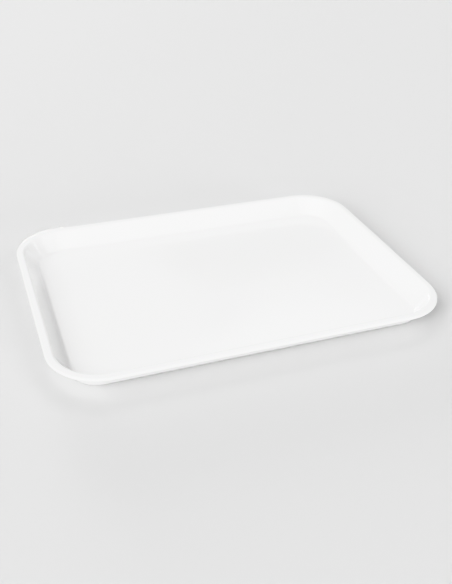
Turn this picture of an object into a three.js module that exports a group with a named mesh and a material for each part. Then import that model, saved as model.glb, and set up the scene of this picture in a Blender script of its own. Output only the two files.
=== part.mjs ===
// A shallow rectangular serving tray with rounded corners, moulded in one piece from hard plastic.
//
// Millimetres, +Z up. The origin is the middle of the footprint, on the surface that the tray stands on.
// The length runs along X and the width along Y.
//
// The solid is one closed cross-section carried round a rounded rectangle. A point of the section is an
// inset, measured inwards from the outermost edge of the rim, and a height above the standing surface.

import * as THREE from 'three';

// Overall size
const LENGTH = 450;
const WIDTH = 330;
const HEIGHT = 24;

// Corners, seen from above
const RIM_CORNER_RADIUS = 58;
const FLOOR_CORNER_RADIUS = 30;
const BASE_CORNER_RADIUS = 30;

// Floor and wall
const THICKNESS = 2.6;
const WALL_FLARE = THREE.MathUtils.degToRad(35);
const FLOOR_FILLET_RADIUS = 5;
const BASE_BEND_RADIUS = 2.5;

// Rim: a flat land that rolls into the wall on the inside and stands out over it on the outside
const RIM_LAND_END = 6.2;
const RIM_INNER_RADIUS = 4.5;
const RIM_TOP_EDGE_RADIUS = 2;
const RIM_UNDER_EDGE_RADIUS = 1.4;
const RIM_ROOT_RADIUS = 1.5;

// Underside: a narrow standing ring round a slightly raised panel
const RING_WIDTH = 6;
const PANEL_RISE = 0.6;

// Fineness of the faceted solid
const CORNER_SEGMENTS = 12;
const DEGREES_PER_ARC_STEP = 10;

const QUARTER_TURN = Math.PI / 2;

// Where the parts of the section meet. Both bends turn through the angle between floor and wall.
const BEND = QUARTER_TURN - WALL_FLARE;
const RIM_THICKNESS = RIM_TOP_EDGE_RADIUS + RIM_UNDER_EDGE_RADIUS;
const RIM_UNDERSIDE = HEIGHT - RIM_THICKNESS;
const WALL_TOP = new THREE.Vector2(
  RIM_LAND_END + RIM_INNER_RADIUS * Math.sin(BEND),
  HEIGHT - RIM_INNER_RADIUS * (1 - Math.cos(BEND)),
);
const WALL_FOOT_HEIGHT = THICKNESS + FLOOR_FILLET_RADIUS * (1 - Math.cos(BEND));
const WALL_FOOT_INSET = WALL_TOP.x + (WALL_TOP.y - WALL_FOOT_HEIGHT) * Math.tan(WALL_FLARE);
const FLOOR_INSET = WALL_FOOT_INSET + FLOOR_FILLET_RADIUS * Math.sin(BEND);
const BASE_INSET = outerWallInset(0) + BASE_BEND_RADIUS * Math.tan(BEND / 2);

// The inset of the wall's outer face at a height on its straight stretch.
function outerWallInset(height) {
  const innerInset = WALL_TOP.x + (WALL_TOP.y - height) * Math.tan(WALL_FLARE);
  return innerInset - THICKNESS / Math.cos(WALL_FLARE);
}

// Points on an arc about centre, at even steps from one angle to another, both ends included.
// Angle 0 points inwards along the inset, and a quarter turn points up.
function arcPoints(centre, radius, fromAngle, toAngle) {
  const sweep = THREE.MathUtils.radToDeg(Math.abs(toAngle - fromAngle));
  const steps = Math.max(2, Math.ceil(sweep / DEGREES_PER_ARC_STEP));
  const clockwise = toAngle < fromAngle;
  const arc = new THREE.EllipseCurve(
    centre.x, centre.y, radius, radius, fromAngle, toAngle, clockwise,
  );
  return arc.getPoints(steps);
}

// The inside of the tray, from the edge of the floor up to the middle of the rim's outer edge.
function insideSection() {
  const floorFillet = arcPoints(
    new THREE.Vector2(FLOOR_INSET, THICKNESS + FLOOR_FILLET_RADIUS),
    FLOOR_FILLET_RADIUS, -QUARTER_TURN, -QUARTER_TURN - BEND,
  );
  const rimRoll = arcPoints(
    new THREE.Vector2(RIM_LAND_END, HEIGHT - RIM_INNER_RADIUS),
    RIM_INNER_RADIUS, QUARTER_TURN - BEND, QUARTER_TURN,
  );
  const topEdge = arcPoints(
    new THREE.Vector2(RIM_TOP_EDGE_RADIUS, HEIGHT - RIM_TOP_EDGE_RADIUS),
    RIM_TOP_EDGE_RADIUS, QUARTER_TURN, 2 * QUARTER_TURN,
  );
  return [...floorFillet, ...rimRoll, ...topEdge];
}

// The outside of the tray, from the rim's outer edge down and in to the raised panel of the underside.
function outsideSection() {
  const underEdge = arcPoints(
    new THREE.Vector2(RIM_UNDER_EDGE_RADIUS, RIM_UNDERSIDE + RIM_UNDER_EDGE_RADIUS),
    RIM_UNDER_EDGE_RADIUS, 2 * QUARTER_TURN, 3 * QUARTER_TURN,
  );
  const rootSetback = RIM_ROOT_RADIUS * Math.tan(BEND / 2);
  const rimRoot = arcPoints(
    new THREE.Vector2(outerWallInset(RIM_UNDERSIDE) - rootSetback, RIM_UNDERSIDE - RIM_ROOT_RADIUS),
    RIM_ROOT_RADIUS, QUARTER_TURN, QUARTER_TURN - BEND,
  );
  const baseBend = arcPoints(
    new THREE.Vector2(BASE_INSET, BASE_BEND_RADIUS),
    BASE_BEND_RADIUS, -QUARTER_TURN - BEND, -QUARTER_TURN,
  );
  const ringEnd = BASE_INSET + RING_WIDTH;
  return [
    ...underEdge.slice(1),
    ...rimRoot,
    ...baseBend,
    new THREE.Vector2(ringEnd, 0),
    new THREE.Vector2(ringEnd + PANEL_RISE, PANEL_RISE),
  ];
}

// The corner radius at an inset. The rim's corners are concentric, and down the wall they tighten
// until they reach the stated radius at the edge of the floor or of the base.
function cornerRadius(inset, wallFoot) {
  const concentric = RIM_CORNER_RADIUS - inset;
  const tightening = RIM_CORNER_RADIUS - wallFoot.inset - wallFoot.radius;
  const downTheWall = THREE.MathUtils.clamp((inset - WALL_TOP.x) / (wallFoot.inset - WALL_TOP.x), 0, 1);
  return concentric - tightening * downTheWall;
}

// A closed rounded rectangle, anticlockwise from above, at one point of the section.
function levelLoop(point, wallFoot) {
  const radius = cornerRadius(point.x, wallFoot);
  const cornerX = LENGTH / 2 - point.x - radius;
  const cornerY = WIDTH / 2 - point.x - radius;
  const centres = [
    new THREE.Vector2(cornerX, cornerY),
    new THREE.Vector2(-cornerX, cornerY),
    new THREE.Vector2(-cornerX, -cornerY),
    new THREE.Vector2(cornerX, -cornerY),
  ];
  return centres.flatMap((centre, quarter) => {
    const start = quarter * QUARTER_TURN;
    const arc = new THREE.EllipseCurve(centre.x, centre.y, radius, radius, start, start + QUARTER_TURN);
    return arc.getPoints(CORNER_SEGMENTS).map((p) => new THREE.Vector3(p.x, p.y, point.y));
  });
}

// Triangles that fill one flat loop, as indices into that loop.
function fillLoop(loop) {
  return THREE.ShapeUtils.triangulateShape(loop.map((p) => new THREE.Vector2(p.x, p.y)), []);
}

// The closed skin through a stack of loops, from the floor over the rim to the underside.
function skinGeometry(loops) {
  const perLoop = loops[0].length;
  const indices = [];
  for (const [a, b, c] of fillLoop(loops[0])) {
    indices.push(a, b, c);
  }
  for (let level = 0; level < loops.length - 1; level += 1) {
    for (let i = 0; i < perLoop; i += 1) {
      const next = (i + 1) % perLoop;
      const inner = level * perLoop;
      const outer = inner + perLoop;
      indices.push(inner + i, outer + i, outer + next);
      indices.push(inner + i, outer + next, inner + next);
    }
  }
  const last = (loops.length - 1) * perLoop;
  for (const [a, b, c] of fillLoop(loops[loops.length - 1])) {
    indices.push(last + a, last + c, last + b);
  }
  const geometry = new THREE.BufferGeometry().setFromPoints(loops.flat());
  geometry.setIndex(indices);
  geometry.computeVertexNormals();
  return geometry;
}

function makeTray() {
  const floorEdge = { inset: FLOOR_INSET, radius: FLOOR_CORNER_RADIUS };
  const baseEdge = { inset: BASE_INSET, radius: BASE_CORNER_RADIUS };
  const inside = insideSection().map((point) => levelLoop(point, floorEdge));
  const outside = outsideSection().map((point) => levelLoop(point, baseEdge));
  const glossyWhite = new THREE.MeshStandardMaterial({ color: 0xf2f2f0, roughness: 0.22, metalness: 0 });
  const tray = new THREE.Mesh(skinGeometry([...inside, ...outside]), glossyWhite);
  tray.name = 'tray';
  return tray;
}

const model = new THREE.Group();
model.add(makeTray());

export default model;
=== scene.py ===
import math

import bmesh
import bpy
from mathutils import Matrix, Vector, noise


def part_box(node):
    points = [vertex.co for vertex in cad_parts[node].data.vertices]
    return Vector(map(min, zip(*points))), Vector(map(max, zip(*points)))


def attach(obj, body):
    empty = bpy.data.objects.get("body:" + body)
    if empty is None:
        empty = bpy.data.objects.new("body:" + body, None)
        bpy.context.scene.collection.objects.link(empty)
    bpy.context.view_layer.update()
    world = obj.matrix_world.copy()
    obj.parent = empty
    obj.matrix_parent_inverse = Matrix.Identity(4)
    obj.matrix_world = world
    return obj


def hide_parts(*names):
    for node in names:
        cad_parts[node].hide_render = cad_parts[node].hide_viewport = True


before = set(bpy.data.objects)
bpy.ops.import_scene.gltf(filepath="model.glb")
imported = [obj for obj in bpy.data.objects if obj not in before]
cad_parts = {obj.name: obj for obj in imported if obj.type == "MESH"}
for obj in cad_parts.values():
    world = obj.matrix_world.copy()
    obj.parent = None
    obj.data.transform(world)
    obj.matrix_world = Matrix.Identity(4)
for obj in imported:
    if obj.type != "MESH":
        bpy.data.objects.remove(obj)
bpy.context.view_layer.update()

# A shallow serving tray moulded in one piece from glossy white plastic, standing on a pale studio floor.
#
# Metres, +Z up. The origin is the middle of the tray's footprint, on the floor. The tray is one closed
# cross-section carried round a rounded rectangle. A point of the section is an inset, measured inwards
# from the outermost edge of the rim, and a height above the floor.

LOWEST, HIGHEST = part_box("tray")
LENGTH = HIGHEST.x - LOWEST.x
WIDTH = HIGHEST.y - LOWEST.y
HEIGHT = HIGHEST.z - LOWEST.z

# Corners, seen from above
RIM_CORNER_RADIUS = 0.058
FLOOR_CORNER_RADIUS = 0.030
BASE_CORNER_RADIUS = 0.030
SMALLEST_CORNER_RADIUS = 0.004

# Floor and wall
THICKNESS = 0.0026
WALL_FLARE = math.radians(35)
FLOOR_FILLET_RADIUS = 0.005
BASE_BEND_RADIUS = 0.0025

# Rim
RIM_LAND_END = 0.0062
RIM_INNER_RADIUS = 0.0045
RIM_TOP_EDGE_RADIUS = 0.002
RIM_UNDER_EDGE_RADIUS = 0.0014
RIM_ROOT_RADIUS = 0.0015

# Underside
RING_WIDTH = 0.006
PANEL_RISE = 0.0006

# What moulding leaves: a fine parting line round the rim's edge and, underneath, a gate mark in the middle
# and round ejector pin marks. A mark's profile is radii and heights from its root in the panel outwards.
PARTING_LINE_DEPTH = 0.00010
PARTING_LINE_HALF_WIDTH = 0.00008
PIN_SPOTS = [(x, y) for x in (-0.15, 0.0, 0.15) for y in (-0.1, 0.0, 0.1) if (x, y) != (0.0, 0.0)]
PIN_MARK_PROFILE = [
    (0.0050, 0.00090), (0.0050, 0.00052), (0.00493, 0.00046), (0.0047, 0.00045), (0.0004, 0.00045)
]
GATE_SPOTS = [(0.0, 0.0)]
GATE_MARK_PROFILE = [
    (0.0075, 0.00090), (0.0075, 0.00050), (0.0073, 0.00044), (0.0069, 0.00042), (0.0030, 0.00042),
    (0.0026, 0.00040), (0.0021, 0.00028), (0.0016, 0.00022), (0.0006, 0.00020),
]

# Fineness of the mesh
MARK_STEPS = 48
DEGREES_PER_ARC_STEP = 3
FEWEST_ARC_STEPS = 4
CORNER_STEPS = 30
LONG_SIDE_STEPS = 36
SHORT_SIDE_STEPS = 26
WALL_STEPS = 6
FLOOR_RING_STEP = 0.008
SMOOTHING_BORDER = 0.0004

# The slight unevenness of a real moulding
WAVE_HEIGHT = 0.00010
WAVE_LENGTH = 0.11

# The plastic: its shades, where hands hold it as shares of the height, and its orange peel
PLASTIC_IOR = 1.49
DARKER_PIGMENT = (0.865, 0.865, 0.862, 1)
LIGHTER_PIGMENT = (0.88, 0.88, 0.88, 1)
HELD_FROM = 0.93
HELD_FULLY = 0.99
ORANGE_PEEL_HEIGHT = 0.00004
ORANGE_PEEL_STRENGTH = 0.15

# The floor's matt paint
FLOOR_SHADE = (0.62, 0.62, 0.62, 1)
FLOOR_ROUGHNESS = 0.9
FLOOR_SPECULAR = 0.1

QUARTER_TURN = math.pi / 2
BEND = QUARTER_TURN - WALL_FLARE
RIM_UNDERSIDE = HEIGHT - RIM_TOP_EDGE_RADIUS - RIM_UNDER_EDGE_RADIUS
WALL_TOP_INSET = RIM_LAND_END + RIM_INNER_RADIUS * math.sin(BEND)
WALL_TOP_HEIGHT = HEIGHT - RIM_INNER_RADIUS * (1 - math.cos(BEND))
WALL_FOOT_HEIGHT = THICKNESS + FLOOR_FILLET_RADIUS * (1 - math.cos(BEND))
WALL_FOOT_INSET = WALL_TOP_INSET + (WALL_TOP_HEIGHT - WALL_FOOT_HEIGHT) * math.tan(WALL_FLARE)
FLOOR_INSET = WALL_FOOT_INSET + FLOOR_FILLET_RADIUS * math.sin(BEND)

# The camera looks at a point just in front of the tray's middle, tilted a little to its right.
CAMERA_AZIMUTH = math.radians(-20.58)
CAMERA_ELEVATION = math.radians(32.04)
CAMERA_ROLL = math.radians(1.30)
CAMERA_DISTANCE = 2.087 * LENGTH
CAMERA_TARGET = Vector((0.0074 * LENGTH, -0.0349 * LENGTH, 0.0))
CAMERA_LENS = 48.09

# The studio. Beyond the floor the camera sees a backdrop as pale as the floor, and the tray a dim room.
FLOOR_SIZE = 30.0
WORLD_STRENGTH = 0.1
BACKDROP_STRENGTH = 0.90

# How strong each kind of lamp is. The key comes over the front left corner. Low lamps stand for pale walls.
KEY_STRENGTH = 1.1
WALL_STRENGTH = 0.5
FILL_STRENGTH = 0.4
PANEL_STRENGTH = 0.35
GLINT_STRENGTH = 0.06

# Soft lamps: name, azimuth and elevation in degrees from the tray's front, degrees across and strength
STUDIO_LAMPS = [
    ("key_left", -60, 42, 34, KEY_STRENGTH),
    ("key_front", -30, 42, 34, KEY_STRENGTH),
    ("key_far_left", -90, 42, 30, KEY_STRENGTH / 2),
    ("key_low", -60, 22, 14, KEY_STRENGTH),
    ("wall_left", -60, 10, 12, WALL_STRENGTH),
    ("wall_front_left", -25, 5, 16, WALL_STRENGTH),
    ("wall_front", 30, 4, 16, 3 * WALL_STRENGTH),
    ("wall_back", 180, 4, 16, 6 * WALL_STRENGTH),
    ("fill_right", 90, 42, 34, FILL_STRENGTH),
    ("fill_front_right", 50, 35, 24, FILL_STRENGTH),
    ("panel_back", 180, 42, 34, PANEL_STRENGTH),
    ("panel_back_left", 240, 42, 34, PANEL_STRENGTH),
    ("panel_back_right", 150, 42, 20, PANEL_STRENGTH),
    ("glint_front", 6, 42, 5, GLINT_STRENGTH),
    ("glint_right", 92, 21, 4, GLINT_STRENGTH),
]


def outer_wall_inset(height):
    """The inset of the wall's outer face at a height on its straight stretch."""
    inner_inset = WALL_TOP_INSET + (WALL_TOP_HEIGHT - height) * math.tan(WALL_FLARE)
    return inner_inset - THICKNESS / math.cos(WALL_FLARE)


BASE_INSET = outer_wall_inset(0) + BASE_BEND_RADIUS * math.tan(BEND / 2)
FLOOR_EDGE = (FLOOR_INSET, FLOOR_CORNER_RADIUS)
BASE_EDGE = (BASE_INSET, BASE_CORNER_RADIUS)


def arc_points(centre, radius, from_angle, to_angle):
    """Points on an arc, both ends included. Angle 0 points inwards along the inset, a quarter turn up."""
    steps = math.ceil(math.degrees(abs(to_angle - from_angle)) / DEGREES_PER_ARC_STEP)
    steps = max(FEWEST_ARC_STEPS, steps)
    angles = [from_angle + (to_angle - from_angle) * i / steps for i in range(steps + 1)]
    return [(centre[0] + radius * math.cos(a), centre[1] + radius * math.sin(a)) for a in angles]


def between(start, end, steps):
    """The points that cut a straight stretch into equal steps, its two ends left out."""
    shares = [i / steps for i in range(1, steps)]
    return [(start[0] + (end[0] - start[0]) * t, start[1] + (end[1] - start[1]) * t) for t in shares]


def flat_rings(first_inset, height):
    """The rings that carry a flat face from an inset to the middle of the tray, outermost first."""
    last_inset = WIDTH / 2 - SMALLEST_CORNER_RADIUS
    steps = math.ceil((last_inset - first_inset) / FLOOR_RING_STEP)
    spread = between((first_inset, height), (last_inset, height), steps)
    return [(first_inset + SMOOTHING_BORDER, height), *spread, (last_inset, height)]


def inside_section():
    """The inside of the tray, from the middle of the floor up to the middle of the rim's outer edge."""
    fillet = arc_points(
        (FLOOR_INSET, THICKNESS + FLOOR_FILLET_RADIUS),
        FLOOR_FILLET_RADIUS, -QUARTER_TURN, -QUARTER_TURN - BEND,
    )
    roll = arc_points(
        (RIM_LAND_END, HEIGHT - RIM_INNER_RADIUS), RIM_INNER_RADIUS, QUARTER_TURN - BEND, QUARTER_TURN
    )
    edge = arc_points(
        (RIM_TOP_EDGE_RADIUS, HEIGHT - RIM_TOP_EDGE_RADIUS), RIM_TOP_EDGE_RADIUS, QUARTER_TURN, math.pi
    )
    edge_end = HEIGHT - RIM_TOP_EDGE_RADIUS
    parting_line = [
        (0.0, edge_end + PARTING_LINE_HALF_WIDTH),
        (PARTING_LINE_DEPTH, edge_end),
        (0.0, edge_end - PARTING_LINE_HALF_WIDTH),
    ]
    floor = flat_rings(FLOOR_INSET, THICKNESS)[::-1]
    wall = between(fillet[-1], roll[0], WALL_STEPS)
    return [*floor, *fillet, *wall, *roll, *edge[:-1], *parting_line]


def outside_section():
    """The outside of the tray, from the rim's outer edge down, in and under to the middle."""
    edge = arc_points(
        (RIM_UNDER_EDGE_RADIUS, RIM_UNDERSIDE + RIM_UNDER_EDGE_RADIUS),
        RIM_UNDER_EDGE_RADIUS, math.pi, 3 * QUARTER_TURN,
    )
    root_setback = RIM_ROOT_RADIUS * math.tan(BEND / 2)
    root = arc_points(
        (outer_wall_inset(RIM_UNDERSIDE) - root_setback, RIM_UNDERSIDE - RIM_ROOT_RADIUS),
        RIM_ROOT_RADIUS, QUARTER_TURN, QUARTER_TURN - BEND,
    )
    base = arc_points(
        (BASE_INSET, BASE_BEND_RADIUS), BASE_BEND_RADIUS, -QUARTER_TURN - BEND, -QUARTER_TURN
    )
    ring_end = BASE_INSET + RING_WIDTH
    panel = flat_rings(ring_end + PANEL_RISE, PANEL_RISE)
    wall = between(root[-1], base[0], WALL_STEPS)
    return [*edge[1:], *root, *wall, *base, (ring_end, 0.0), (ring_end + PANEL_RISE, PANEL_RISE), *panel]


def share_down_wall(inset, foot_inset):
    """How far down the wall an inset lies: 0 above the rim's roll, 1 from the foot of the wall inwards."""
    return min(max((inset - WALL_TOP_INSET) / (foot_inset - WALL_TOP_INSET), 0.0), 1.0)


def corner_radius(inset, wall_foot):
    """The rim's corners are concentric. Down the wall they tighten to the stated radius at its foot."""
    foot_inset, foot_radius = wall_foot
    concentric = RIM_CORNER_RADIUS - inset
    tightening = RIM_CORNER_RADIUS - foot_inset - foot_radius
    return max(concentric - tightening * share_down_wall(inset, foot_inset), SMALLEST_CORNER_RADIUS)


def level_loop(point, wall_foot):
    """A closed rounded rectangle, anticlockwise from above, at one point of the section."""
    inset, height = point
    radius = corner_radius(inset, wall_foot)
    corner_x = LENGTH / 2 - inset - radius
    corner_y = WIDTH / 2 - inset - radius
    quarters = [(1, 1), (-1, 1), (-1, -1), (1, -1)]
    side_steps = [LONG_SIDE_STEPS, SHORT_SIDE_STEPS, LONG_SIDE_STEPS, SHORT_SIDE_STEPS]
    arcs = []
    for quarter, (sign_x, sign_y) in enumerate(quarters):
        angles = [(quarter + i / CORNER_STEPS) * QUARTER_TURN for i in range(CORNER_STEPS + 1)]
        arcs.append([
            (sign_x * corner_x + radius * math.cos(a), sign_y * corner_y + radius * math.sin(a))
            for a in angles
        ])
    loop = []
    for quarter, arc in enumerate(arcs):
        following = arcs[(quarter + 1) % len(arcs)]
        loop += arc + between(arc[-1], following[0], side_steps[quarter])
    return [Vector((x, y, height)) for x, y in loop]


def make_tray():
    """The whole moulding: one closed skin from the middle of the floor over the rim to the underside."""
    inside = [level_loop(point, FLOOR_EDGE) for point in inside_section()]
    outside = [level_loop(point, BASE_EDGE) for point in outside_section()]
    for (inset, _), loop in zip(inside_section(), inside):
        for place in loop:
            place.z += WAVE_HEIGHT * share_down_wall(inset, FLOOR_INSET) * noise.noise(place / WAVE_LENGTH)
    loops = inside + outside
    per_loop = len(loops[0])
    faces = [tuple(range(per_loop))]
    for level in range(len(loops) - 1):
        for i in range(per_loop):
            after = (i + 1) % per_loop
            inner = level * per_loop
            outer = inner + per_loop
            faces.append((inner + i, outer + i, outer + after, inner + after))
    last = (len(loops) - 1) * per_loop
    faces.append(tuple(range(last + per_loop - 1, last - 1, -1)))
    mesh = bpy.data.meshes.new("tray_moulding")
    mesh.from_pydata([place for loop in loops for place in loop], [], faces)
    mesh.validate()
    mesh.shade_smooth()
    tray = bpy.data.objects.new("tray_moulding", mesh)
    bpy.context.scene.collection.objects.link(tray)
    return tray


def make_marks(name, spots, profile):
    """Low round marks on the underside: one profile turned round at each spot, closed at both ends."""
    marks = bmesh.new()
    for spot_x, spot_y in spots:
        rings = []
        for radius, height in profile:
            turns = [math.tau * i / MARK_STEPS for i in range(MARK_STEPS)]
            rings.append([
                marks.verts.new((spot_x + radius * math.cos(a), spot_y + radius * math.sin(a), height))
                for a in turns
            ])
        for wide, narrow in zip(rings, rings[1:]):
            for i in range(MARK_STEPS):
                after = (i + 1) % MARK_STEPS
                marks.faces.new((wide[i], wide[after], narrow[after], narrow[i]))
        marks.faces.new(rings[0])
        marks.faces.new(rings[-1])
    bmesh.ops.recalc_face_normals(marks, faces=marks.faces)
    mesh = bpy.data.meshes.new(name)
    marks.to_mesh(mesh)
    marks.free()
    mesh.shade_smooth()
    mark_object = bpy.data.objects.new(name, mesh)
    bpy.context.scene.collection.objects.link(mark_object)
    return mark_object


def glossy_white_plastic():
    material = bpy.data.materials.new("glossy_white_plastic")
    material.use_nodes = True
    nodes = material.node_tree.nodes
    links = material.node_tree.links
    shader = nodes["Principled BSDF"]
    shader.inputs["IOR"].default_value = PLASTIC_IOR

    place = nodes.new("ShaderNodeTexCoord").outputs["Object"]

    def noise_texture(vector, scale, detail):
        texture = nodes.new("ShaderNodeTexNoise")
        texture.inputs["Scale"].default_value = scale
        texture.inputs["Detail"].default_value = detail
        links.new(vector, texture.inputs["Vector"])
        return texture.outputs["Fac"]

    def stretched(angle, lengthways, crossways):
        mapping = nodes.new("ShaderNodeMapping")
        mapping.inputs["Rotation"].default_value = (0, 0, math.radians(angle))
        mapping.inputs["Scale"].default_value = (lengthways, crossways, lengthways)
        links.new(place, mapping.inputs["Vector"])
        return mapping.outputs["Vector"]

    def ramp(source, span, colours):
        shades = nodes.new("ShaderNodeValToRGB")
        for element, position, colour in zip(shades.color_ramp.elements, span, colours):
            element.position = position
            element.color = colour
        links.new(source, shades.inputs["Fac"])
        return shades.outputs["Color"]

    def greys(low, high):
        return [(low, low, low, 1), (high, high, high, 1)]

    def scuffs(angle, lengthways, crossways, detail, span, roughness):
        scratches = noise_texture(stretched(angle, lengthways, crossways), scale=1.0, detail=detail)
        return ramp(scratches, span, greys(0.0, roughness))

    def together(operation, first, second):
        maths = nodes.new("ShaderNodeMath")
        maths.operation = operation
        links.new(first, maths.inputs[0])
        links.new(second, maths.inputs[1])
        return maths.outputs["Value"]

    # Colour: the pigment's faint flow, with no hue to speak of
    flow = noise_texture(place, scale=7.0, detail=3.0)
    pigment = ramp(flow, (0.3, 0.7), [DARKER_PIGMENT, LIGHTER_PIGMENT])
    links.new(pigment, shader.inputs["Base Color"])

    # Gloss: a patchy handling haze, fine scuffs in two directions, and a duller rim where hands hold it
    haze = ramp(noise_texture(place, scale=22.0, detail=6.0), (0.3, 0.7), greys(0.09, 0.15))
    long_scuffs = scuffs(
        angle=24, lengthways=6, crossways=260, detail=3.0, span=(0.60, 0.72), roughness=0.07
    )
    short_scuffs = scuffs(
        angle=-51, lengthways=14, crossways=420, detail=2.0, span=(0.64, 0.74), roughness=0.05
    )
    height = nodes.new("ShaderNodeSeparateXYZ")
    links.new(place, height.inputs["Vector"])
    held = ramp(height.outputs["Z"], (HEIGHT * HELD_FROM, HEIGHT * HELD_FULLY), greys(0.0, 1.0))
    rubbed = ramp(noise_texture(place, scale=45.0, detail=4.0), (0.35, 0.65), greys(0.0, 0.06))
    all_scuffs = together("ADD", long_scuffs, short_scuffs)
    wear = together("ADD", all_scuffs, together("MULTIPLY", held, rubbed))
    links.new(together("ADD", haze, wear), shader.inputs["Roughness"])

    # Relief: the faint orange peel of a moulded gloss surface
    bump = nodes.new("ShaderNodeBump")
    bump.inputs["Strength"].default_value = ORANGE_PEEL_STRENGTH
    bump.inputs["Distance"].default_value = ORANGE_PEEL_HEIGHT
    links.new(noise_texture(place, scale=260.0, detail=2.0), bump.inputs["Height"])
    links.new(bump.outputs["Normal"], shader.inputs["Normal"])
    return material


def pale_floor_paint():
    material = bpy.data.materials.new("pale_floor")
    material.use_nodes = True
    shader = material.node_tree.nodes["Principled BSDF"]
    shader.inputs["Base Color"].default_value = FLOOR_SHADE
    shader.inputs["Roughness"].default_value = FLOOR_ROUGHNESS
    shader.inputs["Specular IOR Level"].default_value = FLOOR_SPECULAR
    return material


def make_floor():
    half = FLOOR_SIZE / 2
    mesh = bpy.data.meshes.new("studio_floor")
    corners = [(-half, -half, 0), (half, -half, 0), (half, half, 0), (-half, half, 0)]
    mesh.from_pydata(corners, [], [(0, 1, 2, 3)])
    floor = bpy.data.objects.new("studio_floor", mesh)
    floor.data.materials.append(pale_floor_paint())
    bpy.context.scene.collection.objects.link(floor)
    return floor


def axes_towards(azimuth, elevation):
    """The axes of something that looks at the tray: back towards it, its right and its up."""
    back = Vector((
        math.sin(azimuth) * math.cos(elevation),
        -math.cos(azimuth) * math.cos(elevation),
        math.sin(elevation),
    ))
    right = Vector((math.cos(azimuth), math.sin(azimuth), 0))
    return back, right, back.cross(right)


def placed(location, right, up, back):
    """The matrix of a camera or lamp at a place, with its own X, Y and Z along three axes."""
    return Matrix.Translation(location) @ Matrix((right, up, back)).transposed().to_4x4()


def add_lamp(name, azimuth, elevation, spread, strength):
    """A soft, distant lamp: a bright disc in the sky, so many degrees across, as a far softbox gives."""
    lamp = bpy.data.lights.new(name, "SUN")
    lamp.angle = math.radians(spread)
    lamp.energy = strength
    lamp_object = bpy.data.objects.new(name, lamp)
    back, right, up = axes_towards(math.radians(azimuth), math.radians(elevation))
    lamp_object.matrix_world = placed(back, right, up, back)
    bpy.context.scene.collection.objects.link(lamp_object)


def light_the_studio():
    world = bpy.data.worlds.new("studio")
    world.use_nodes = True
    background = world.node_tree.nodes["Background"]
    background.inputs["Color"].default_value = (1, 1, 1, 1)

    # The dim room's strength, plus what the backdrop adds where the camera sees it directly
    seen_by = world.node_tree.nodes.new("ShaderNodeLightPath")
    strength = world.node_tree.nodes.new("ShaderNodeMath")
    strength.operation = "MULTIPLY_ADD"
    strength.inputs[1].default_value = BACKDROP_STRENGTH - WORLD_STRENGTH
    strength.inputs[2].default_value = WORLD_STRENGTH
    world.node_tree.links.new(seen_by.outputs["Is Camera Ray"], strength.inputs[0])
    world.node_tree.links.new(strength.outputs["Value"], background.inputs["Strength"])
    bpy.context.scene.world = world
    for lamp in STUDIO_LAMPS:
        add_lamp(*lamp)


def add_camera():
    back, right, up = axes_towards(CAMERA_AZIMUTH, CAMERA_ELEVATION)
    rolled_right = math.cos(CAMERA_ROLL) * right + math.sin(CAMERA_ROLL) * up
    rolled_up = math.cos(CAMERA_ROLL) * up - math.sin(CAMERA_ROLL) * right
    lens = bpy.data.cameras.new("studio_camera")
    lens.lens = CAMERA_LENS
    camera = bpy.data.objects.new("studio_camera", lens)
    camera.matrix_world = placed(CAMERA_TARGET + back * CAMERA_DISTANCE, rolled_right, rolled_up, back)
    bpy.context.scene.collection.objects.link(camera)
    bpy.context.scene.camera = camera


add_camera()
light_the_studio()
bpy.context.scene.view_settings.view_transform = "Khronos PBR Neutral"

make_floor()

plastic = glossy_white_plastic()
pieces = [
    make_tray(),
    make_marks("ejector_pin_marks", PIN_SPOTS, PIN_MARK_PROFILE),
    make_marks("gate_mark", GATE_SPOTS, GATE_MARK_PROFILE),
]
for piece in pieces:
    piece.data.materials.append(plastic)
    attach(piece, "root")
    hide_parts("tray")
